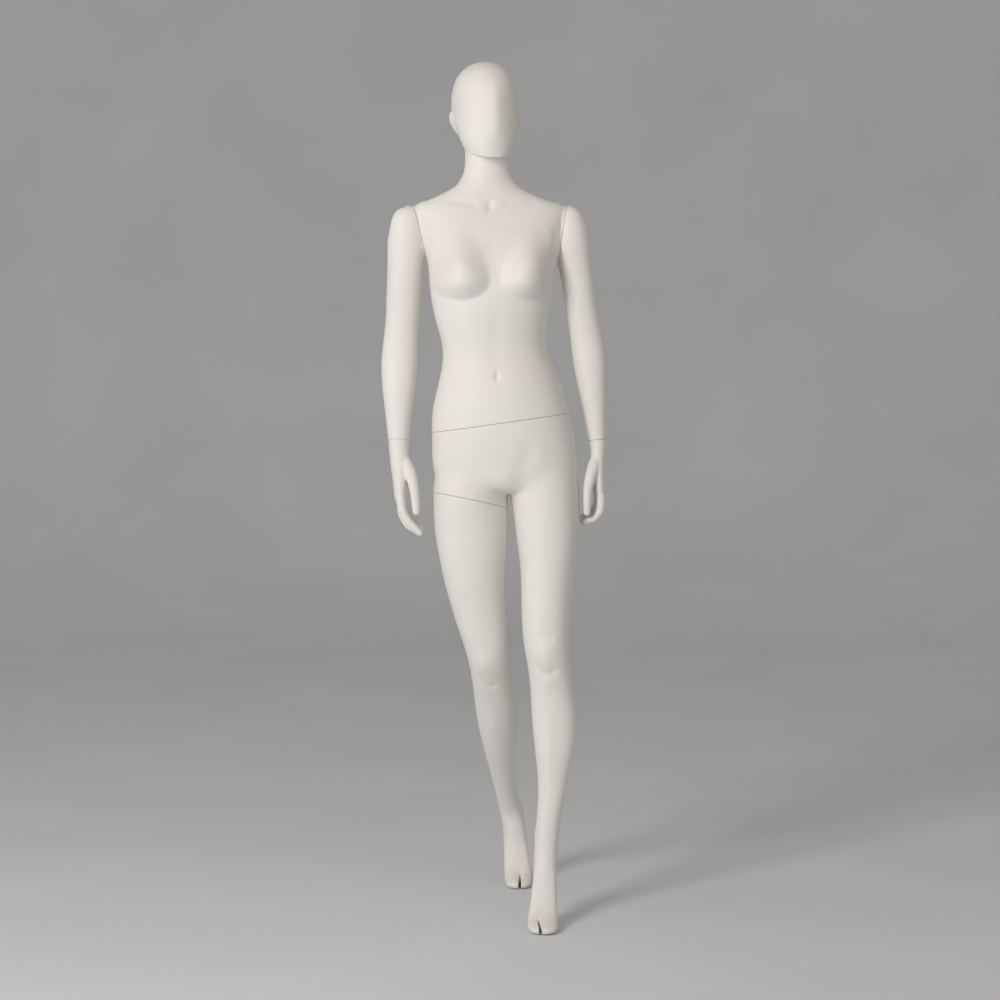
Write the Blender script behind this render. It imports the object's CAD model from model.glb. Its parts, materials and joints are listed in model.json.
import bpy
import bmesh
import json
import math
import numpy as np
from mathutils import Matrix, Vector
from mathutils.bvhtree import BVHTree


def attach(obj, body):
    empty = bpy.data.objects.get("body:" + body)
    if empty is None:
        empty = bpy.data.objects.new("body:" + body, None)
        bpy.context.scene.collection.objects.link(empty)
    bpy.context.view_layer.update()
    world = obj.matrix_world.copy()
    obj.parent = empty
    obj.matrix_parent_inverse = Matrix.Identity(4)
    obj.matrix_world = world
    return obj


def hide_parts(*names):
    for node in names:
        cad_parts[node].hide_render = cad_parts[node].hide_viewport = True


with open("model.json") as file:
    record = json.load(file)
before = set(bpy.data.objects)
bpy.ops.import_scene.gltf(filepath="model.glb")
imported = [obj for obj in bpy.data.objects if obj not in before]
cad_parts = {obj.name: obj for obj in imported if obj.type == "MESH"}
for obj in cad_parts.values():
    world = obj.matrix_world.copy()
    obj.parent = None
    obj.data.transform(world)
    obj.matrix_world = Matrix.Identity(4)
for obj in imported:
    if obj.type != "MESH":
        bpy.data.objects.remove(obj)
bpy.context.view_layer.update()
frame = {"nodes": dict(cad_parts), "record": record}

# Everything below is drawn in millimetres above the floor, facing -Y, and moved to the frame at the end.
ORIGIN = np.array((99.0, -46.0, 76.0))
WALL = 3.0
SEAM_GAP = 0.6

# Trunk: height, centre x, half width, front depth, back depth, squareness (2 is an ellipse)
TRUNK = [
    (911, 14, 60, 30, 48, 2.2),
    (914, 14, 102, 52, 80, 2.25),
    (922, 14, 134, 70, 103, 2.3),
    (938, 14, 151, 81, 116, 2.35),
    (965, 12, 157, 86, 121, 2.3),
    (999, 9, 155, 90, 118, 2.3),
    (1034, 7, 153, 93, 107, 2.25),
    (1069, 3, 150, 95, 92, 2.2),
    (1104, 0, 143, 94, 79, 2.2),
    (1134, 0, 135, 91, 70, 2.2),
    (1164, -2, 126, 86, 65, 2.2),
    (1194, -7, 115.5, 82, 63, 2.25),
    (1219, -12, 110.5, 80, 64, 2.3),
    (1244, -15, 111.5, 82, 68, 2.3),
    (1269, -17, 117.5, 86, 74, 2.3),
    (1299, -18, 124, 92, 81, 2.3),
    (1329, -18, 130, 96, 88, 2.3),
    (1359, -18, 133, 98, 93, 2.3),
    (1384, -17, 135, 97, 96, 2.4),
    (1409, -16, 139, 92, 97, 2.5),
    (1434, -16, 145, 84, 96, 2.6),
    (1461, -17, 151, 75, 94, 2.6),
    (1487, -19, 157, 67, 91, 2.5),
    (1507, -20, 163, 60, 87, 2.4),
    (1518, -21, 166, 55, 82, 2.3),
    (1527, -22, 162, 52, 79, 2.2),
    (1535, -25, 144, 50, 78, 2.1),
    (1543, -28, 124, 48, 77, 2.05),
    (1553, -28, 101, 46, 75, 2.0),
    (1565, -28.5, 77, 44, 70, 2.0),
    (1583, -27, 55, 43, 64, 2.0),
    (1605, -26, 49, 44, 60, 2.0),
    (1631, -26, 48.5, 45, 59, 2.0),
    (1659, -27, 49, 47, 58, 2.0),
    (1699, -28, 51, 50, 58, 2.0),
]
# Limbs: axis x, y, height, half width, front depth, back depth
LEFT_LEG = [
    (84, 14, 977, 62, 74, 88),
    (89, 12, 954, 74, 86, 100),
    (94, 9, 930, 77, 89, 101),
    (98, 6, 904, 73.5, 86, 97),
    (101, 2, 869, 70.5, 81, 91),
    (102.5, -3, 824, 68.5, 76, 84),
    (103.5, -9, 774, 61.5, 71, 77),
    (102, -15, 724, 56.5, 66, 70),
    (99.5, -21, 674, 53.5, 61, 63),
    (98, -26, 629, 51, 57, 56),
    (100, -30, 589, 49, 55, 50),
    (104, -31, 554, 46, 51, 49),
    (109, -28, 514, 44.8, 44, 54),
    (113, -26, 472, 46.5, 41, 61),
    (117, -27, 430, 48.8, 39, 63),
    (119, -30, 388, 47, 37, 59),
    (117, -35, 346, 40.5, 34, 50),
    (114, -41, 304, 33, 31, 41),
    (110.5, -47, 263, 29, 29, 34),
    (106, -51, 229, 26.4, 28, 31),
    (102.5, -54, 199, 25.4, 28, 31),
    (100, -57, 170, 25, 28, 32),
    (98.5, -60, 150, 25.4, 28, 31),
    (97.5, -66, 128, 25.6, 28, 29),
    (96.5, -76, 106, 25, 27, 27),
    (96, -88, 84, 22, 22, 22),
]
RIGHT_LEG = [
    (-54, 14, 977, 62, 74, 88),
    (-59, 12, 954, 76, 86, 100),
    (-63, 11, 930, 81, 89, 101),
    (-64.5, 10, 904, 81, 86, 96),
    (-63.5, 10, 859, 80, 81, 88),
    (-60.5, 12, 809, 77, 76, 82),
    (-57.5, 15, 766, 71.5, 72, 76),
    (-55, 18, 723, 65.5, 68, 70),
    (-48.5, 23, 680, 59.5, 64, 64),
    (-40, 29, 636, 55, 60, 58),
    (-30, 35, 594, 50.5, 57, 53),
    (-24.5, 42, 557, 46, 54, 50),
    (-19.5, 60, 517, 43, 47, 49),
    (-12, 92, 467, 45.5, 41, 57),
    (-6.5, 132, 407, 45, 39, 61),
    (-2, 176, 351, 38.5, 36, 54),
    (3, 222, 297, 31, 32, 44),
    (9, 266, 246, 25.5, 28, 35),
    (15, 297, 211, 24, 27, 31),
    (20.5, 320, 183, 24.6, 28, 31),
    (26, 331, 158, 25.4, 28, 31),
    (31, 332, 136, 26, 27, 30),
    (34.5, 328, 115, 26.2, 25, 28),
    (37.5, 322, 94, 26, 20, 26),
    (39, 316, 76, 22, 14, 22),
]
RIGHT_ARM = [
    (-194, 8, 1527, 6, 8, 8),
    (-194, 8, 1524, 22, 27, 29),
    (-195, 8, 1514, 33, 37, 40),
    (-196, 8, 1496, 39.5, 43, 47),
    (-198, 8, 1472, 42.5, 46, 51),
    (-200, 9, 1445, 41.5, 46, 52),
    (-203, 11, 1409, 38.5, 43, 50),
    (-206, 14, 1367, 36.8, 41, 46),
    (-208, 17, 1324, 36.8, 39, 42),
    (-210, 20, 1284, 35.8, 37, 38),
    (-213, 22, 1244, 37.2, 36, 37),
    (-216, 20, 1204, 39.8, 38, 38),
    (-217.5, 15, 1159, 38.3, 37, 37),
    (-218.5, 8, 1114, 32.4, 33, 33),
    (-218.5, 2, 1069, 26.4, 29, 29),
    (-217.5, -4, 1026, 22.8, 27, 27),
    (-217.5, -8, 994, 20.6, 26, 26),
]
LEFT_ARM = [
    (150, 10, 1527, 6, 8, 8),
    (149, 10, 1524, 19, 26, 28),
    (148.5, 10, 1514, 29, 37, 40),
    (149, 10, 1496, 36, 43, 47),
    (151, 11, 1472, 40.5, 46, 51),
    (155.5, 12, 1445, 40.5, 46, 52),
    (162, 17, 1409, 37, 43, 50),
    (168.5, 22, 1367, 36.2, 41, 46),
    (174.5, 27, 1324, 35, 39, 42),
    (181, 32, 1284, 34.6, 37, 38),
    (188.5, 35, 1244, 36.5, 36, 37),
    (194, 36, 1204, 37.3, 38, 38),
    (198.5, 35, 1159, 34.2, 37, 37),
    (202.8, 33, 1114, 29, 33, 33),
    (207, 31, 1069, 23.8, 29, 29),
    (210.5, 29, 1026, 19.8, 27, 27),
    (212.5, 27, 994, 16.8, 26, 26),
]
# Feet, cut across Y: y, centre x, half width, sole height, top height
LEFT_FOOT = [
    (-8, 99, 6, 103, 115),
    (-13, 99, 17, 90, 133),
    (-24, 99, 24, 82, 151),
    (-48, 98.5, 25.5, 75, 160),
    (-74, 97, 25.5, 64, 152),
    (-100, 95, 26, 43, 116),
    (-124, 92.5, 28, 20, 76),
    (-146, 90.5, 31, 5, 46),
    (-166, 89.5, 32.5, 0.5, 31),
    (-186, 89.5, 32, -0.5, 24),
    (-204, 90, 29.5, 0, 20.5),
    (-216, 90.5, 23, 2, 17),
    (-221, 91, 11, 6, 13),
]
RIGHT_FOOT = [
    (389, 32, 6, 138, 150),
    (384, 32, 16, 125, 168),
    (372, 31, 23, 112, 184),
    (352, 30, 24.5, 95, 188),
    (331, 32, 25, 64, 164),
    (310, 36, 27, 31, 114),
    (292, 39.5, 30, 9, 68),
    (277, 41.5, 31.5, 1.5, 40),
    (260, 42, 31, 0, 28),
    (242, 42, 28.5, -0.5, 22),
    (229, 42.5, 22, 1, 17),
    (223, 42.5, 10, 5, 13),
]
# Hands: the palm, cut like a limb, then each finger as joints from knuckle to tip
RIGHT_PALM = [
    (-217.5, -4, 1039, 22.4, 27, 27),
    (-217.5, -6, 1014, 21.5, 26, 26),
    (-216.5, -8, 989, 20.4, 26, 25),
    (-214.5, -9, 964, 19.3, 31, 30),
    (-213, -8, 939, 17.3, 36, 36),
    (-213, -6, 916, 15.5, 38, 39),
    (-213, -4, 897, 13.5, 36, 38),
    (-212, -4, 887, 8, 28, 30),
]
RIGHT_FINGERS = [
    [(-213, -33, 909), (-209, -36, 875), (-195, -38, 851), (-172, -38, 828)],
    [(-214, -13, 909), (-211, -14, 867), (-197, -15, 842), (-173, -15, 827)],
    [(-213, 7, 909), (-209, 8, 870), (-195, 8, 847), (-171, 8, 834)],
    [(-212, 26, 912), (-207, 26, 878), (-194, 26, 859), (-175, 26, 849)],
]
RIGHT_THUMB = [(-209, -16, 990), (-190, -36, 954), (-182, -45, 917), (-178.5, -48, 874)]
LEFT_PALM = [
    (210.5, 29, 1039, 20.7, 27, 27),
    (211.5, 28, 1014, 18.4, 26, 26),
    (212, 27, 989, 16.2, 26, 25),
    (211.5, 26, 964, 16, 31, 30),
    (213, 27, 939, 15.5, 36, 36),
    (215, 29, 916, 14.5, 38, 39),
    (217, 31, 897, 12.5, 36, 38),
    (217, 31, 887, 8, 28, 30),
]
LEFT_FINGERS = [
    [(217, 2, 909), (217, -1, 875), (204, -3, 857), (183.5, -3, 850)],
    [(218, 22, 909), (217, 20, 871), (203, 19, 851), (183, 19, 844)],
    [(217, 42, 909), (215, 42, 873), (201, 42, 855), (180, 42, 848)],
    [(216, 61, 912), (212, 61, 881), (199, 60, 864), (180, 59, 857)],
]
LEFT_THUMB = [(208, 15, 988), (195, -8, 951), (187.5, -17, 917), (186.5, -20, 871)]
FINGER_RADII = (10.2, 9.2, 8.3, 6.8)
THUMB_RADII = (10.5, 12.8, 10, 7.8)

# Head: height, centre y, half width, front depth, back depth
HEAD = [
    (1832, 0, 8, 8, 10),
    (1829, 0, 26, 32, 36),
    (1818, 0, 44.5, 57, 61),
    (1799, 0, 59.5, 77, 81),
    (1774, 0, 67.5, 89, 93),
    (1744, 0, 69.5, 93, 97),
    (1714, -6, 69, 88.5, 97),
    (1689, -16, 66.5, 78.5, 94),
    (1667, -28, 61.5, 65, 90),
    (1647, -36, 53, 54, 90),
    (1631, -41, 44, 45, 92),
    (1615, -45, 35, 36, 92),
    (1599, -49, 25, 26, 90),
]
HEAD_YAW = 15.0
HEAD_AXIS = (-33.0, 6.0, 0.0)


# ---------------------------------------------------------------- curves and surfaces
def unit(v):
    v = np.array(v, float)
    return v / np.linalg.norm(v)


def turned(v, degrees):
    a = math.radians(degrees)
    return np.array((v[0] * math.cos(a) - v[1] * math.sin(a), v[0] * math.sin(a) + v[1] * math.cos(a), v[2]))


def clamped_basis(poles, count):
    """Weights of a clamped cubic curve's poles at evenly spaced places."""
    knots = np.concatenate(([0] * 3, np.arange(poles - 2), [poles - 3] * 3)).astype(float)
    t = np.linspace(0, poles - 3, count)
    t[-1] -= 1e-9
    basis = np.array([(t >= knots[i]) & (t < knots[i + 1]) for i in range(len(knots) - 1)], float)
    for degree in range(1, 4):
        grown = []
        for i in range(len(knots) - 1 - degree):
            left = knots[i + degree] - knots[i]
            right = knots[i + degree + 1] - knots[i + 1]
            value = np.zeros(count)
            if left > 0:
                value = value + (t - knots[i]) / left * basis[i]
            if right > 0:
                value = value + (knots[i + degree + 1] - t) / right * basis[i + 1]
            grown.append(value)
        basis = np.array(grown)
    return basis.T


def closed_basis(poles, count):
    """Weights of a closed cubic curve's poles at evenly spaced places."""
    t = np.arange(count) * poles / count
    out = np.zeros((count, poles))
    for k in range(count):
        i = int(t[k])
        f = t[k] - i
        weights = ((1 - f) ** 3 / 6, (3 * f ** 3 - 6 * f ** 2 + 4) / 6,
                   (-3 * f ** 3 + 3 * f ** 2 + 3 * f + 1) / 6, f ** 3 / 6)
        for step, w in enumerate(weights):
            out[k, (i - 1 + step) % poles] += w
    return out


def oval(count, half_width, front, back, squareness):
    swell = 3 / (2 + math.cos(2 * math.pi / count))
    angle = 2 * math.pi * np.arange(count) / count
    c, s = np.cos(angle), np.sin(angle)
    x = half_width * np.sign(c) * np.abs(c) ** (2 / squareness)
    y = np.where(s > 0, back, front) * np.sign(s) * np.abs(s) ** (2 / squareness)
    return np.stack((x, y), 1) * swell


def tube(bm, rings, around=72, along=160):
    """A closed smooth tube through a stack of rings, made from a flat grid rolled up."""
    rings = np.array(rings)
    surface = np.einsum("vn,nkc->vkc", clamped_basis(len(rings), along + 1), rings)
    surface = np.einsum("uk,vkc->vuc", closed_basis(rings.shape[1], around), surface)
    made = bmesh.ops.create_grid(bm, x_segments=around, y_segments=along, size=1)["verts"]
    for v in made:
        i = round((v.co.x + 1) / 2 * around) % around
        j = round((v.co.y + 1) / 2 * along)
        v.co = surface[j, i]
    bmesh.ops.remove_doubles(bm, verts=made, dist=1e-4)
    alive = [v for v in made if v.is_valid]
    rim = {e for v in alive for e in v.link_edges if e.is_boundary}
    bmesh.ops.holes_fill(bm, edges=list(rim), sides=0)


def limb_rings(stations, squareness=2.15, count=24):
    axis = [np.array(s[:3], float) for s in stations]
    rings = []
    for k, (x, y, z, half, front, back) in enumerate(stations):
        down = unit(axis[min(k + 1, len(axis) - 1)] - axis[max(k - 1, 0)])
        left = np.array((1.0, 0, 0))
        left = unit(left - down * left.dot(down))
        rear = np.cross(left, down)
        flat = oval(count, half, front, back, squareness)
        rings.append(axis[k] + flat[:, :1] * left + flat[:, 1:] * rear)
    return rings


def trunk_rings():
    rings = []
    for height, cx, half, front, back, square in TRUNK:
        flat = oval(32, half, front, back, square)
        rings.append(np.stack((flat[:, 0] + cx, flat[:, 1], np.full(32, height)), 1))
    return rings


def foot_rings(stations):
    rings = []
    for y, cx, half, sole, top in stations:
        middle, tall = (sole + top) / 2, (top - sole) / 2
        flat = oval(24, half, tall, tall, 2.4)
        rings.append(np.stack((flat[:, 0] + cx, np.full(24, y), flat[:, 1] + middle), 1))
    return rings


def finger_rings(joints, radii):
    points = [np.array(p, float) for p in joints]
    stations = []
    for k in range(len(points) - 1):
        for t in (0, 0.5):
            stations.append((points[k] + (points[k + 1] - points[k]) * t, radii[k] + (radii[k + 1] - radii[k]) * t))
    along = unit(points[-1] - points[-2])
    for forward, share in ((0, 1), (0.55, 0.86), (0.9, 0.5), (1.0, 0.15)):
        stations.append((points[-1] + along * (radii[-1] * forward), radii[-1] * share))
    rings = []
    for k, (centre, radius) in enumerate(stations):
        down = unit(stations[min(k + 1, len(stations) - 1)][0] - stations[max(k - 1, 0)][0])
        side = np.array((0, 1.0, 0))
        side = unit(side - down * side.dot(down))
        flat = oval(12, radius, radius, radius, 2)
        rings.append(centre + flat[:, :1] * side + flat[:, 1:] * np.cross(side, down))
    return rings


# ---------------------------------------------------------------- merging, modelling and cutting
def merged(name, bm, voxel, smooth, factor=0.5):
    """Melts overlapping tubes into one even skin."""
    bmesh.ops.recalc_face_normals(bm, faces=bm.faces)
    mesh = bpy.data.meshes.new(name)
    bm.to_mesh(mesh)
    bm.free()
    obj = bpy.data.objects.new(name, mesh)
    bpy.context.scene.collection.objects.link(obj)
    remesh = obj.modifiers.new("skin", "REMESH")
    remesh.mode = "VOXEL"
    remesh.voxel_size = voxel
    remesh.adaptivity = 0
    soften = obj.modifiers.new("soften", "SMOOTH")
    soften.factor = factor
    soften.iterations = smooth
    return baked(obj)


def baked(obj):
    """Applies an object's modifiers."""
    bpy.context.view_layer.update()
    graph = bpy.context.evaluated_depsgraph_get()
    mesh = bpy.data.meshes.new_from_object(obj.evaluated_get(graph))
    old = obj.data
    obj.modifiers.clear()
    obj.data = mesh
    bpy.data.meshes.remove(old)
    return obj


def softened(obj, places, iterations):
    """Blends the skin evenly round each place, given as its centre and its radii."""
    count = len(obj.data.vertices)
    flat = np.zeros(count * 3, np.float32)
    obj.data.vertices.foreach_get("co", flat)
    co = flat.reshape(-1, 3)
    weight = np.zeros(count)
    for centre, radii in places:
        q = (co - np.array(centre)) / np.array(radii)
        weight = np.maximum(weight, np.clip(1.6 * (1 - np.sum(q * q, 1)), 0, 1))
    obj.vertex_groups.clear()
    group = obj.vertex_groups.new(name="blend")
    for step in range(1, 11):
        chosen = np.nonzero(np.round(weight * 10) == step)[0]
        group.add(chosen.tolist(), step / 10, "REPLACE")
    smooth = obj.modifiers.new("blend", "SMOOTH")
    smooth.factor = 0.6
    smooth.iterations = iterations
    smooth.vertex_group = "blend"
    return baked(obj)


class Clay:
    """The vertices of a skin while it is being modelled."""

    def __init__(self, obj):
        self.obj = obj
        self.read()

    def read(self):
        count = len(self.obj.data.vertices)
        flat = np.zeros(count * 3, np.float32)
        self.obj.data.vertices.foreach_get("co", flat)
        self.co = flat.reshape(-1, 3).astype(float)
        normals = np.zeros(count * 3, np.float32)
        self.obj.data.vertices.foreach_get("normal", normals)
        self.normal = normals.reshape(-1, 3).astype(float)

    def write(self):
        self.obj.data.vertices.foreach_set("co", self.co.astype(np.float32).ravel())
        self.obj.data.update()
        self.read()

    def dab(self, centre, radii, amount, push=None, facing=None):
        """Raises (or sinks) a soft oval patch, along the surface or along push."""
        q = (self.co - np.array(centre, float)) / np.array(radii, float)
        w = amount * np.exp(-np.sum(q * q, 1))
        if facing is not None:
            w = w * np.clip(self.normal @ unit(facing) * 2, 0, 1)
        way = self.normal if push is None else unit(push)
        self.co += w[:, None] * way

    def stroke(self, points, radius, amount, push=None, facing=None, taper=True):
        """Raises (or sinks) a soft line through points."""
        points = np.array(points, float)
        best = np.full(len(self.co), 1e9)
        where = np.zeros(len(self.co))
        total = len(points) - 1
        for k in range(total):
            a, b = points[k], points[k + 1]
            t = np.clip((self.co - a) @ (b - a) / max((b - a) @ (b - a), 1e-9), 0, 1)
            d = np.linalg.norm(self.co - (a + t[:, None] * (b - a)), axis=1)
            nearer = d < best
            best = np.where(nearer, d, best)
            where = np.where(nearer, (k + t) / total, where)
        w = amount * np.exp(-(best / radius) ** 2)
        if taper:
            end = np.clip(np.minimum(where, 1 - where) * 5, 0, 1)
            w = w * end * end * (3 - 2 * end)
        if facing is not None:
            w = w * np.clip(self.normal @ unit(facing) * 2, 0, 1)
        way = self.normal if push is None else unit(push)
        self.co += w[:, None] * way


def clear_of_boards(clay, room=1.3):
    """Lifts the skin off the boards that sit just under it."""
    for node, board in frame["nodes"].items():
        if not node.endswith("_board"):
            continue
        corners = [v.co * 1000 + Vector(ORIGIN) for v in board.data.vertices]
        tree = BVHTree.FromPolygons(corners, [tuple(p.vertices) for p in board.data.polygons])
        low, high = np.min(corners, axis=0) - room, np.max(corners, axis=0) + room
        if "shoulder" in node:
            low[2] = (low[2] + high[2]) / 2 + 20     # the armpit below is open
        near = np.nonzero(np.all((clay.co > low) & (clay.co < high), axis=1))[0]
        for i in near:
            at = Vector(clay.co[i])
            spot, face_normal = tree.find_nearest(at)[:2]
            gap = math.copysign((at - spot).length, (at - spot).dot(face_normal))
            if -3 < gap < room and face_normal.dot(Vector(clay.normal[i])) > 0.5:
                clay.co[i] += clay.normal[i] * (room - gap)
    clay.write()


def split_seam(bm, cuts, seed):
    """Cuts the skin along planes, each near one place only, and gives back the vertices on seed's side."""
    for point, normal, near in cuts:
        point, normal = np.array(point, float), unit(normal)
        for shift in (-SEAM_GAP / 2, SEAM_GAP / 2):
            faces = [f for f in bm.faces if near(f.calc_center_median())]
            geom = set(faces)
            for f in faces:
                geom.update(f.verts)
                geom.update(f.edges)
            bmesh.ops.bisect_plane(bm, geom=list(geom), dist=1e-5, plane_co=Vector(point + normal * shift),
                                   plane_no=Vector(normal))
        band = []
        for f in bm.faces:
            c = f.calc_center_median()
            if near(c) and abs((np.array(c) - point) @ normal) < SEAM_GAP / 2:
                band.append(f)
        bmesh.ops.delete(bm, geom=band, context="FACES")
    bm.verts.ensure_lookup_table()
    start = min(bm.verts, key=lambda v: (v.co - Vector(seed)).length_squared)
    seen, todo = {start}, [start]
    while todo:
        v = todo.pop()
        for e in v.link_edges:
            w = e.other_vert(v)
            if w not in seen:
                seen.add(w)
                todo.append(w)
    return seen


def take(bm, verts):
    """Moves some vertices and their faces into a mesh of their own."""
    other = bm.copy()
    bm.verts.index_update()
    picked = {v.index for v in verts}
    other.verts.ensure_lookup_table()
    bmesh.ops.delete(other, geom=[v for v in other.verts if v.index not in picked], context="VERTS")
    bmesh.ops.delete(bm, geom=list(verts), context="VERTS")
    return other


def rim_in(bm, seams, depth=14.0):
    """Gives the open edges at each seam the thickness of the wall, and a short way of its inner face."""
    bm.normal_update()
    for point, normal in seams:
        point, normal = np.array(point, float), unit(normal)
        rim = [e for e in bm.edges if e.is_boundary
               and all(abs((np.array(v.co) - point) @ normal) < 1.2 for v in e.verts)]
        if not rim:
            continue
        lip_way = {}
        rim_verts = {v for e in rim for v in e.verts}
        centre = np.mean([np.array(v.co) for v in rim_verts], axis=0)
        for v in rim_verts:
            n = np.array(v.normal)
            n = unit(n - normal * (n @ normal))
            to_centre = unit(centre - np.array(v.co))
            if n @ to_centre > 0.2:
                n = -to_centre
            lip_way[v] = Vector(unit(0.6 * to_centre - n) * WALL)
        across = Vector(normal)
        votes = 0
        for v in rim_verts:
            lean = sum((e.other_vert(v).co - v.co).dot(across) for e in v.link_edges if not e.is_boundary)
            votes += math.copysign(1.0, lean or 1.0)
        inward = across * math.copysign(1.0, votes)
        first = bmesh.ops.extrude_edge_only(bm, edges=rim)["geom"]
        lip = {}
        for v in first:
            if isinstance(v, bmesh.types.BMVert):
                near = [e.other_vert(v) for e in v.link_edges if e.other_vert(v) in lip_way]
                lip[v] = lip_way[near[0]] if near else Vector((0, 0, 0))
        for v, way in lip.items():
            v.co += way
        second = bmesh.ops.extrude_edge_only(
            bm, edges=[g for g in first if isinstance(g, bmesh.types.BMEdge)])["geom"]
        for v in second:
            if isinstance(v, bmesh.types.BMVert):
                near = [e.other_vert(v) for e in v.link_edges if e.other_vert(v) in lip]
                way = lip[near[0]] if near else Vector((0, 0, 0))
                v.co += inward * depth + way * 0.5


def cap_seam(bm, point, normal):
    """Closes the cut end of a solid piece."""
    point, normal = np.array(point, float), unit(normal)
    rim = [e for e in bm.edges if e.is_boundary
           and all(abs((np.array(v.co) - point) @ normal) < 1.2 for v in e.verts)]
    if rim:
        bmesh.ops.holes_fill(bm, edges=rim, sides=0)


def finished(name, bm, body, node):
    """Turns a modelled skin into a piece of the figure."""
    bmesh.ops.translate(bm, verts=bm.verts, vec=Vector(-ORIGIN))
    bmesh.ops.scale(bm, verts=bm.verts, vec=(0.001, 0.001, 0.001))
    mesh = bpy.data.meshes.new(name)
    bm.to_mesh(mesh)
    bm.free()
    mesh.shade_smooth()
    obj = bpy.data.objects.new(name, mesh)
    bpy.context.scene.collection.objects.link(obj)
    obj.data.materials.append(materials["laminate"])
    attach(obj, body)
    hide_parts(node)
    return obj


# ---------------------------------------------------------------- finishes
def node_material(name, build):
    m = bpy.data.materials.new(name)
    m.use_nodes = True
    tree = m.node_tree
    tree.nodes.clear()
    out = tree.nodes.new("ShaderNodeOutputMaterial")
    shader = tree.nodes.new("ShaderNodeBsdfPrincipled")
    tree.links.new(shader.outputs["BSDF"], out.inputs["Surface"])
    coords = tree.nodes.new("ShaderNodeTexCoord")
    build(tree, shader, coords.outputs["Object"])
    return m


def noise(tree, coords, scale, detail=3.0, rough=0.5):
    n = tree.nodes.new("ShaderNodeTexNoise")
    n.inputs["Scale"].default_value = scale
    n.inputs["Detail"].default_value = detail
    n.inputs["Roughness"].default_value = rough
    tree.links.new(coords, n.inputs["Vector"])
    return n.outputs["Fac"]


def ramp(tree, value, low, high, a=0.3, b=0.7):
    r = tree.nodes.new("ShaderNodeValToRGB")
    r.color_ramp.elements[0].position = a
    r.color_ramp.elements[1].position = b
    r.color_ramp.elements[0].color = (*low, 1)
    r.color_ramp.elements[1].color = (*high, 1)
    tree.links.new(value, r.inputs["Fac"])
    return r.outputs["Color"]


def span(tree, value, low, high):
    m = tree.nodes.new("ShaderNodeMapRange")
    m.inputs["To Min"].default_value = low
    m.inputs["To Max"].default_value = high
    tree.links.new(value, m.inputs["Value"])
    return m.outputs["Result"]


def bumped(tree, shader, height, strength, distance):
    b = tree.nodes.new("ShaderNodeBump")
    b.inputs["Strength"].default_value = strength
    b.inputs["Distance"].default_value = distance
    tree.links.new(height, b.inputs["Height"])
    tree.links.new(b.outputs["Normal"], shader.inputs["Normal"])


def laminate(tree, shader, coords):
    """Sprayed matt off-white finish: faint clouding, a little uneven sheen, very fine spray grain."""
    clouds = noise(tree, coords, 6.0, 4.0)
    tree.links.new(ramp(tree, clouds, (0.800, 0.775, 0.735), (0.840, 0.818, 0.782)), shader.inputs["Base Color"])
    tree.links.new(span(tree, noise(tree, coords, 22.0, 2.0), 0.50, 0.60), shader.inputs["Roughness"])
    bumped(tree, shader, noise(tree, coords, 900.0, 2.0), 0.05, 0.0004)
    shader.inputs["Specular IOR Level"].default_value = 0.35


def board(tree, shader, coords):
    """Raw fibreboard: brown fibres, rough sawn edge."""
    fibres = noise(tree, coords, 260.0, 6.0, 0.7)
    tree.links.new(ramp(tree, fibres, (0.30, 0.20, 0.12), (0.52, 0.38, 0.25)), shader.inputs["Base Color"])
    tree.links.new(span(tree, noise(tree, coords, 60.0), 0.7, 0.9), shader.inputs["Roughness"])
    bumped(tree, shader, fibres, 0.35, 0.0006)


def steel(tree, shader, coords):
    """Zinc-plated turned steel with fine wear."""
    wear = noise(tree, coords, 90.0, 5.0, 0.6)
    tree.links.new(ramp(tree, wear, (0.42, 0.43, 0.45), (0.62, 0.63, 0.65)), shader.inputs["Base Color"])
    tree.links.new(span(tree, wear, 0.28, 0.45), shader.inputs["Roughness"])
    bumped(tree, shader, noise(tree, coords, 700.0), 0.08, 0.0003)
    shader.inputs["Metallic"].default_value = 1.0


def nickel(tree, shader, coords):
    """Bright nickel plate with faint handling marks."""
    marks = noise(tree, coords, 150.0, 4.0)
    tree.links.new(ramp(tree, marks, (0.66, 0.64, 0.60), (0.80, 0.78, 0.74)), shader.inputs["Base Color"])
    tree.links.new(span(tree, marks, 0.12, 0.28), shader.inputs["Roughness"])
    bumped(tree, shader, marks, 0.05, 0.0002)
    shader.inputs["Metallic"].default_value = 1.0


def yellow_zinc(tree, shader, coords):
    """Yellow-passivated screws."""
    tint = noise(tree, coords, 300.0, 3.0)
    tree.links.new(ramp(tree, tint, (0.52, 0.42, 0.20), (0.70, 0.60, 0.36)), shader.inputs["Base Color"])
    tree.links.new(span(tree, tint, 0.25, 0.4), shader.inputs["Roughness"])
    bumped(tree, shader, tint, 0.1, 0.0002)
    shader.inputs["Metallic"].default_value = 1.0


materials = {
    "laminate": node_material("laminate", laminate),
    "board": node_material("board", board),
    "steel": node_material("steel", steel),
    "magnet": node_material("magnet", nickel),
    "screws": node_material("screws", yellow_zinc),
}
slot_of = {s["node"]: s["material_slot"] for s in frame["record"]["subparts"]}
for node, obj in frame["nodes"].items():
    obj.data.materials.clear()
    obj.data.materials.append(materials[slot_of[node]])


# ---------------------------------------------------------------- the body: trunk, legs and arms in one skin
FINE = 1.0
BODY_GRAIN, HAND_GRAIN, HEAD_GRAIN = 2.8 * FINE, 1.1 * FINE, 1.5 * FINE
FORWARD, BACKWARD, UP = (0, -1, 0), (0, 1, 0), (0, 0, 1)
LEFT_SLOT = ((80.5, -178), (86.5, -238))         # from the ball of the foot to past the toes
RIGHT_SLOT = ((45.5, 264), (44.5, 206))


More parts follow.
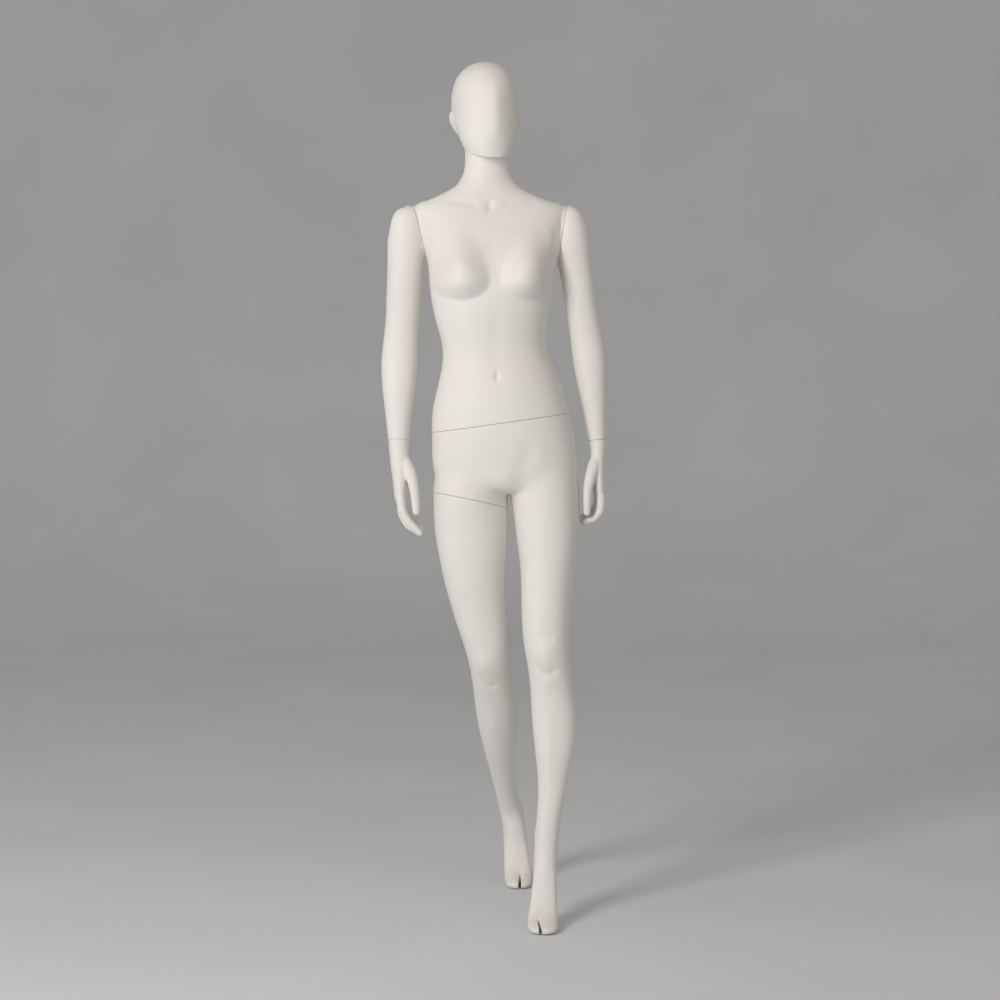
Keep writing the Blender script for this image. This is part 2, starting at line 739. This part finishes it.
def body_skin():
    bm = bmesh.new()
    tube(bm, trunk_rings(), 128, 220)
    tube(bm, limb_rings(LEFT_LEG), 96, 220)
    tube(bm, limb_rings(RIGHT_LEG), 96, 220)
    tube(bm, limb_rings(LEFT_ARM), 72, 140)
    tube(bm, limb_rings(RIGHT_ARM), 72, 140)
    tube(bm, foot_rings(LEFT_FOOT), 64, 96)
    tube(bm, foot_rings(RIGHT_FOOT), 64, 96)
    return merged("body", bm, BODY_GRAIN, 7)


def model_breasts(clay, middle=-9, apart=74, height=1364, deep=31):
    """Full below and running out softly into the upper chest."""
    for side in (-1, 1):
        across = (clay.co[:, 0] - middle - side * apart) / 64
        up = clay.co[:, 2] - height
        tall = np.where(up > 0, up / 118, up / 43)
        reach = np.sqrt(across ** 2 + tall ** 2)
        power = np.where(up > 0, 1.35 + 1.1 * np.clip(up / 60, 0, 1), 1.35)
        w = deep * np.clip(1 - reach ** 2, 0, 1) ** power
        w = w * np.clip(-clay.normal[:, 1] * 1.6 + 0.2, 0, 1)
        clay.co[:, 1] -= w
        clay.co[:, 0] += side * w * 0.06
    clay.write()


def model_front(clay):
    """Collar bones, breastbone, navel, pubic mound and groins."""
    clay.dab((-22, -52, 1521), (8, 30, 11), -4.2, facing=FORWARD)
    for reach in (-1, 1):
        side = [(-22 + reach * x, y, z) for x, y, z in ((24, -52, 1526), (62, -44, 1531), (104, -32, 1534))]
        clay.stroke(side, 8, -2.2)
        clay.stroke([(x, y, z - 16) for x, y, z in side], 9, 1.6)
    clay.stroke([(-16, -95, 1470), (-11, -104, 1400), (-9, -104, 1345)], 17, -3, facing=FORWARD)
    clay.stroke([(-9, -98, 1300), (-7, -90, 1235), (-6, -90, 1185)], 13, -1.6, facing=FORWARD)
    clay.dab((-6.5, -92, 1163), (11, 30, 15), -2, facing=FORWARD)
    clay.dab((-6.5, -92, 1163), (3.6, 30, 8), -5.5, facing=FORWARD)
    clay.dab((8, -80, 946), (38, 60, 30), 3, facing=FORWARD)
    clay.stroke([(34, -75, 908), (46, -80, 960), (68, -84, 1036)], 20, -2.8, facing=FORWARD)
    clay.dab((-98, -72, 884), (44, 34, 34), 1.8)
    clay.dab((-2, -62, 886), (30, 60, 30), 3.5, push=BACKWARD, facing=FORWARD)
    clay.write()


def model_back(clay):
    """Spine, shoulder blades, buttocks and their folds."""
    clay.stroke([(-27, 60, 1585), (-21, 96, 1490), (-18, 92, 1370), (-14, 66, 1240), (-6, 68, 1150)],
                15, -6, facing=BACKWARD)
    for side in (-1, 1):
        clay.stroke([(-20 + side * 92, 88, 1500), (-20 + side * 58, 92, 1400)], 26, 5, facing=BACKWARD)
        clay.dab((9 + side * 68, 105, 968), (56, 60, 50), 9, push=BACKWARD, facing=BACKWARD)
        clay.stroke([(9 + side * 26, 90, 893), (9 + side * 80, 92, 886), (9 + side * 124, 74, 898)], 10, -5,
                    facing=BACKWARD)
    clay.stroke([(9, 118, 1010), (11, 122, 965), (13, 100, 915)], 11, -17, facing=BACKWARD)
    clay.write()


def model_shoulders(clay):
    """Takes the fullness off the top of both shoulders, and hollows the armpits in front."""
    clay.stroke([(-168, 10, 1531), (-112, 10, 1548), (-76, 10, 1572)], 22, -8.5, facing=UP)
    clay.stroke([(126, 10, 1531), (66, 10, 1548), (26, 10, 1572)], 22, -7, facing=UP)
    clay.stroke([(-213, 10, 1521), (-226, 10, 1507), (-237, 10, 1478)], 15, -5.5, taper=False)
    clay.stroke([(-158, -44, 1480), (-158, -52, 1430)], 12, -3, facing=FORWARD)
    clay.stroke([(124, -44, 1480), (122, -52, 1430)], 12, -3, facing=FORWARD)
    clay.write()


def model_knee(clay, cap, crease):
    """A kneecap with the crease under it and a shallow dip above."""
    x, y, z = cap
    clay.dab(cap, (24, 40, 28), 4.5, facing=FORWARD)
    clay.stroke(crease, 9, -2.7, facing=FORWARD)
    clay.stroke([(x - 22, y, z + 38), (x, y, z + 44), (x + 22, y, z + 38)], 11, -1.8, facing=FORWARD)
    clay.dab((x + 2, y, z - 62), (14, 40, 18), 2.2, facing=FORWARD)
    clay.write()


def model_limbs(clay):
    """Elbows, shins, ankle bones and the tendons over the insteps."""
    clay.dab((-214, 60, 1244), (15, 22, 22), 3.5)
    clay.dab((190, 73, 1244), (15, 22, 22), 3.5)
    clay.stroke([(98, -82, 480), (104, -66, 380), (104, -72, 280)], 11, 1.8, facing=FORWARD)
    clay.stroke([(-18, 40, 440), (-8, 110, 380), (2, 215, 270)], 11, 1.8, facing=FORWARD)
    for place in ((124, -48, 168), (76, -54, 180), (48, 334, 176), (0, 322, 190)):
        clay.dab(place, (9, 14, 16), 1.8)
    clay.stroke([(100, -90, 150), (93, -125, 88), (90, -158, 42)], 7, 1.4, facing=UP)
    clay.stroke([(30, 312, 150), (38, 290, 84), (42, 270, 40)], 7, 1.4, facing=UP)
    for x, y in ((90.5, -196), (43, 250)):
        clay.stroke([(x - 26, y + 6, 30), (x + 26, y + 6, 26)], 7, 1.2, facing=UP)
    clay.write()


def model_toes(clay):
    """A valley where each big toe parts from the others."""
    for (x, y), (tip_x, tip_y) in (LEFT_SLOT, RIGHT_SLOT):
        clay.stroke([(x, y + 4, 31), (x, y, 28), (tip_x, tip_y + 14, 20)], 5, -2.6, facing=UP, taper=False)
        clay.stroke([(tip_x, tip_y + 12, 2), (tip_x, tip_y + 12, 24)], 6, -4, facing=FORWARD, taper=False)
    clay.write()


def holes_and_slots():
    """What is cut out of the cast: a slot beside each big toe, and a way in for both base rods."""
    bm = bmesh.new()
    for (x, y), (tip_x, tip_y) in (LEFT_SLOT, RIGHT_SLOT):
        along = Vector((tip_x - x, tip_y - y, 0)).normalized()
        across = Vector((-along.y, along.x, 0))
        plan = [(0, 0.9), (8, 2.2), (22, 3.2), (40, 3.6), (64, 3.8)]
        outline = [along * far + across * half for far, half in plan]
        outline += [along * far - across * half for far, half in reversed(plan)]
        rings = [[bm.verts.new(p + Vector((x, y, z))) for p in outline] for z in (-80, 80)]
        bm.faces.new(rings[0])
        bm.faces.new(reversed(rings[1]))
        for k in range(len(outline)):
            n = (k + 1) % len(outline)
            bm.faces.new((rings[0][k], rings[1][k], rings[1][n], rings[0][n]))
    foot, calf = frame_mount("foot_socket"), frame_mount("calf_socket")
    bmesh.ops.create_cone(bm, cap_ends=True, segments=48, radius1=8.3, radius2=8.3, depth=120,
                          matrix=Matrix.Translation(foot + Vector((0, 0, 52))))
    bmesh.ops.create_cone(bm, cap_ends=True, segments=48, radius1=7.2, radius2=7.2, depth=60,
                          matrix=Matrix.Translation(calf + Vector((0, -22, 0))) @ Matrix.Rotation(math.pi / 2, 4, "X"))
    bmesh.ops.recalc_face_normals(bm, faces=bm.faces)
    mesh = bpy.data.meshes.new("holes_and_slots")
    bm.to_mesh(mesh)
    bm.free()
    cutter = bpy.data.objects.new("holes_and_slots", mesh)
    bpy.context.scene.collection.objects.link(cutter)
    return cutter


def frame_mount(name):
    """Where a base rod goes in, above the floor."""
    mount = next(m for m in frame["record"]["mounts"] if m["name"] == name)
    return Vector(mount["pos_m"]) * 1000 + Vector(ORIGIN)


# places where two tubes meet: centre, radii
HIPS = [
    ((98, -60, 955), (80, 70, 62)),
    ((-88, -60, 935), (80, 70, 50)),
    ((100, 92, 935), (80, 60, 60)),
    ((-62, 95, 935), (80, 60, 60)),
    ((172, 0, 935), (40, 100, 60)),
    ((-146, 0, 930), (40, 100, 60)),
]
INSTEPS = [((97, -80, 120), (44, 60, 66)), ((33, 316, 120), (44, 60, 66))]
SHOULDER_TOPS = [((-180, 10, 1524), (40, 70, 28)), ((144, 10, 1524), (40, 70, 28))]
RIGHT_SHOULDER_CAP = [((-206, 10, 1512), (32, 60, 30))]

body = softened(body_skin(), HIPS, 110)
body = softened(body, INSTEPS, 30)
body = softened(body, SHOULDER_TOPS, 12)
clay = Clay(body)
model_breasts(clay)
model_front(clay)
model_back(clay)
model_shoulders(clay)
model_knee(clay, (95, -82, 566), [(70, -70, 560), (78, -76, 540), (95, -80, 528), (112, -76, 532), (123, -66, 550)])
model_knee(clay, (-32, -5, 538), [(-60, 10, 526), (-52, 12, 503), (-34, 15, 487), (-17, 18, 487), (-2, 22, 503)])
model_limbs(clay)
model_toes(clay)
body = softened(body, RIGHT_SHOULDER_CAP, 14)
clay = Clay(body)
clear_of_boards(clay)
cutter = holes_and_slots()
cut = body.modifiers.new("holes_and_slots", "BOOLEAN")
cut.operation = "DIFFERENCE"
cut.solver = "EXACT"
cut.object = cutter
baked(body)
bpy.data.objects.remove(cutter)

whole = bmesh.new()
whole.from_mesh(body.data)
bpy.data.objects.remove(body)

WAIST = ((2, 0, 1063), (-0.139, 0, 0.990))
THIGH = ((-65, 0, 895.5), (-0.202, -0.085, -0.976))
RIGHT_SHOULDER = ((-171, 0, 1467), (-0.969, -0.068, -0.236))
LEFT_SHOULDER = ((136, 0, 1472), (0.987, -0.068, -0.146))
RIGHT_WRIST = ((-217.5, -4, 1025), (0, -0.14, -0.99))
LEFT_WRIST = ((210.5, 29, 1025), (0.09, -0.05, -0.99))
NECK = ((-27, 0, 1650), tuple(turned((0, -0.342, 0.940), 15)))

arms = {}
for side, seam, pit, tip in (("right", RIGHT_SHOULDER, (-161, 1426), (-218, -8, 994)),
                             ("left", LEFT_SHOULDER, (123.5, 1421), (212, 27, 994))):
    sign = -1 if side == "right" else 1
    cuts = [(*seam, lambda c: c.z > pit[1] - 40 and sign * (c.x + 20) > 80),
            ((pit[0], 0, 0), (sign, 0, 0), lambda c: 1329 < c.z < pit[1] and abs(c.x - pit[0]) < 14)]
    arms[side] = take(whole, split_seam(whole, cuts, tip))
right_leg = take(whole, split_seam(whole, [(*THIGH, lambda c: 840 < c.z < 970 and c.x < 19)], (27, 336, 160)))
lower = take(whole, split_seam(whole, [(*WAIST, lambda c: abs(c.z - 1063) < 60)], (99, -55, 160)))
torso = whole


def end_at(bm, seam):
    """Cuts off what lies past a seam."""
    point, normal = np.array(seam[0], float), unit(seam[1])
    bmesh.ops.bisect_plane(bm, geom=bm.verts[:] + bm.edges[:] + bm.faces[:], dist=1e-5,
                           plane_co=Vector(point - normal * SEAM_GAP / 2), plane_no=Vector(normal), clear_outer=True)


end_at(torso, NECK)
end_at(arms["right"], RIGHT_WRIST)
end_at(arms["left"], LEFT_WRIST)
rim_in(torso, [WAIST, RIGHT_SHOULDER, LEFT_SHOULDER, NECK])
rim_in(lower, [WAIST, THIGH])
rim_in(right_leg, [THIGH])
rim_in(arms["right"], [RIGHT_SHOULDER, RIGHT_WRIST])
rim_in(arms["left"], [LEFT_SHOULDER, LEFT_WRIST])
finished("torso", torso, "torso", "torso_shell")
finished("pelvis_and_left_leg", lower, "lower_body", "lower_body_shell")
finished("right_lower_leg", right_leg, "right_leg", "right_leg_shell")
finished("right_arm", arms["right"], "right_arm", "right_arm_shell")
finished("left_arm", arms["left"], "left_arm", "left_arm_shell")

# ---------------------------------------------------------------- hands
for side, palm, fingers, thumb, wrist in (
    ("right", RIGHT_PALM, RIGHT_FINGERS, RIGHT_THUMB, RIGHT_WRIST),
    ("left", LEFT_PALM, LEFT_FINGERS, LEFT_THUMB, LEFT_WRIST),
):
    bm = bmesh.new()
    tube(bm, limb_rings(palm, 2.2), 64, 80)
    for joints in fingers:
        tube(bm, finger_rings(joints, FINGER_RADII), 32, 60)
    tube(bm, finger_rings(thumb, THUMB_RADII), 32, 60)
    obj = merged(side + "_hand_skin", bm, HAND_GRAIN, 5)
    root, knuckle, tip = (np.array(thumb[k], float) for k in (0, 1, 3))
    obj = softened(obj, [(root, (30, 30, 40)), (knuckle, (20, 20, 30))]
                   + [(np.array(joints[0], float), (13, 13, 15)) for joints in fingers], 60)
    hand = Clay(obj)
    ball = (root + knuckle) / 2
    hand.dab(ball, (15, 15, 24), 3.2)
    for joints in fingers:
        hand.dab(np.array(joints[1], float), (9, 9, 9), 0.9)
        hand.dab(np.array(joints[2], float), (7, 7, 7), 0.7)
    for first, second in zip(fingers, fingers[1:]):
        gap = [(np.array(first[k], float) + np.array(second[k], float)) / 2 for k in range(len(first))]
        hand.stroke(gap, 3.2, -1.6, taper=False)
    nail = tip + np.array((0, -THUMB_RADII[-1], 6.0))
    hand.dab(nail, (4.5, 4, 6.5), -1.1, facing=FORWARD)
    hand.dab(nail + np.array((0, 0, 1.0)), (3.0, 4, 4.6), 1.2, facing=FORWARD)
    hand.write()
    bm = bmesh.new()
    bm.from_mesh(obj.data)
    bpy.data.objects.remove(obj)
    point, normal = np.array(wrist[0], float), unit(wrist[1])
    bmesh.ops.bisect_plane(bm, geom=bm.verts[:] + bm.edges[:] + bm.faces[:], dist=1e-5,
                           plane_co=Vector(point + normal * SEAM_GAP / 2), plane_no=Vector(normal), clear_inner=True)
    cap_seam(bm, *wrist)
    finished(side + "_hand_cast", bm, side + "_hand", side + "_hand")

# ---------------------------------------------------------------- head
def to_head(points):
    """From the head's own directions, with its vertical axis at 0, to the figure's."""
    a = math.radians(HEAD_YAW)
    turn = np.array(((math.cos(a), math.sin(a), 0), (-math.sin(a), math.cos(a), 0), (0, 0, 1)))
    return np.array(points, float) @ turn + np.array(HEAD_AXIS)


def ear_bead(bm, side):
    """A thin leaf whose back edge stands off the head, narrower at its lobe."""
    made = bmesh.ops.create_uvsphere(bm, u_segments=40, v_segments=28, radius=1)["verts"]
    lean = Matrix.Rotation(math.radians(side * 16), 3, "Y")
    flare = Matrix.Rotation(math.radians(side * -14), 3, "Z")
    stand, behind = (64, 8) if side < 0 else (70, 1)
    slope = Matrix.Rotation(math.radians(-12), 3, "X")
    for v in made:
        lobe = 0.74 + 0.26 * min(1, max(-1, v.co.z * 1.4 + 0.3))
        local = slope @ flare @ lean @ Vector((v.co.x * 7, v.co.y * 16 * lobe, v.co.z * 27.5))
        v.co = to_head([local + Vector((side * stand, behind, 1700))])[0]


bm = bmesh.new()
tube(bm, [to_head([(a, cy + b, height) for a, b in oval(24, half, front, back, 2.1)])
          for height, cy, half, front, back in HEAD[::-1]], 96, 120)
ear_bead(bm, -1)
ear_bead(bm, 1)
head = merged("head_skin", bm, HEAD_GRAIN, 5)
clay = Clay(head)
a = math.radians(HEAD_YAW)
rel = clay.co - np.array(HEAD_AXIS)
across = rel[:, 0] * math.cos(a) + rel[:, 1] * math.sin(a)
along = -rel[:, 0] * math.sin(a) + rel[:, 1] * math.cos(a)
# the jaw narrows towards the nape, and the face has a soft ridge down its middle
slim = np.clip((1705 - rel[:, 2]) / 50, 0, 1) * np.clip((along + 30) / 40, 0, 1)
across *= 1 - 0.13 * slim
face = np.clip((-along - 30) / 40, 0, 1)
face = face * np.clip((rel[:, 2] - 1640) / 40, 0, 1) * np.clip((1805 - rel[:, 2]) / 60, 0, 1)
along -= face * (3.2 * np.exp(-(across / 15) ** 2) - 2.0 * np.exp(-((np.abs(across) - 38) / 16) ** 2))
clay.co = to_head(np.stack((across, along, rel[:, 2]), 1))
clay.write()
for side in (-1, 1):
    # the hollow of the ear
    clay.dab(to_head([(side * 74, 10, 1706)])[0], (9, 8, 14), -2.6, facing=to_head([(side, 0.25, 0)])[0] - HEAD_AXIS)
clay.write()
bm = bmesh.new()
bm.from_mesh(head.data)
bpy.data.objects.remove(head)
point, normal = np.array(NECK[0], float), unit(NECK[1])
bmesh.ops.bisect_plane(bm, geom=bm.verts[:] + bm.edges[:] + bm.faces[:], dist=1e-5,
                       plane_co=Vector(point + normal * SEAM_GAP / 2), plane_no=Vector(normal), clear_inner=True)
cap_seam(bm, *NECK)
finished("egg_head", bm, "head", "head_shell")


# ---------------------------------------------------------------- floor, light, camera
def stage_material():
    def build(tree, shader, coords):
        tree.links.new(ramp(tree, noise(tree, coords, 1.5), (0.70, 0.725, 0.75), (0.74, 0.765, 0.79)),
                       shader.inputs["Base Color"])
        shader.inputs["Roughness"].default_value = 0.85
    return node_material("studio", build)


floor_z = -ORIGIN[2] / 1000
bm = bmesh.new()
depth, height, bend = 7.5, 5.0, 2.2
profile = [(-9.0, 0.0), (depth - bend, 0.0)]
profile += [(depth - bend + bend * math.sin(a), bend - bend * math.cos(a)) for a in np.linspace(0.1, math.pi / 2, 14)]
profile += [(depth, height)]
line = [bm.verts.new((-9, y, z + floor_z)) for y, z in profile]
edges = [bm.edges.new((line[i], line[i + 1])) for i in range(len(line) - 1)]
side = bmesh.ops.extrude_edge_only(bm, edges=edges)["geom"]
bmesh.ops.translate(bm, verts=[g for g in side if isinstance(g, bmesh.types.BMVert)], vec=(18, 0, 0))
mesh = bpy.data.meshes.new("studio_sweep")
bmesh.ops.recalc_face_normals(bm, faces=bm.faces)
bm.to_mesh(mesh)
bm.free()
mesh.shade_smooth()
sweep = bpy.data.objects.new("studio_sweep", mesh)
sweep.data.materials.append(stage_material())
bpy.context.scene.collection.objects.link(sweep)


def area_light(name, place, target, size, power, colour=(1, 1, 1)):
    data = bpy.data.lights.new(name, "AREA")
    data.shape = "RECTANGLE"
    data.size, data.size_y = size
    data.energy = power
    data.color = colour
    lamp = bpy.data.objects.new(name, data)
    lamp.location = place
    way = Vector(target) - Vector(place)
    lamp.rotation_euler = way.to_track_quat("-Z", "Y").to_euler()
    bpy.context.scene.collection.objects.link(lamp)


area_light("key", (-2.4, -3.3, 2.2), (-0.1, 0, 0.9), (1.2, 2.0), 96, (1.0, 0.985, 0.965))
area_light("fill", (2.4, -3.2, 1.6), (-0.1, 0, 0.9), (2.0, 2.4), 5, (1.0, 0.94, 0.88))
world = bpy.data.worlds.new("studio_air")
bpy.context.scene.world = world
world.use_nodes = True
world.node_tree.nodes["Background"].inputs["Color"].default_value = (1.0, 0.945, 0.895, 1)
world.node_tree.nodes["Background"].inputs["Strength"].default_value = 0.38

CAMERA_PLACE = np.array((0.0, -5000.0, 1144.0))
CAMERA_DROP = 2.832
camera = bpy.data.objects.new("camera", bpy.data.cameras.new("camera"))
bpy.context.scene.collection.objects.link(camera)
camera.data.sensor_width = 36.0
camera.data.lens = 83.72
camera.location = Vector(CAMERA_PLACE - ORIGIN) / 1000
camera.rotation_euler = (math.radians(90 - CAMERA_DROP), 0, 0)
bpy.context.scene.camera = camera
bpy.context.scene.view_settings.view_transform = "Standard"
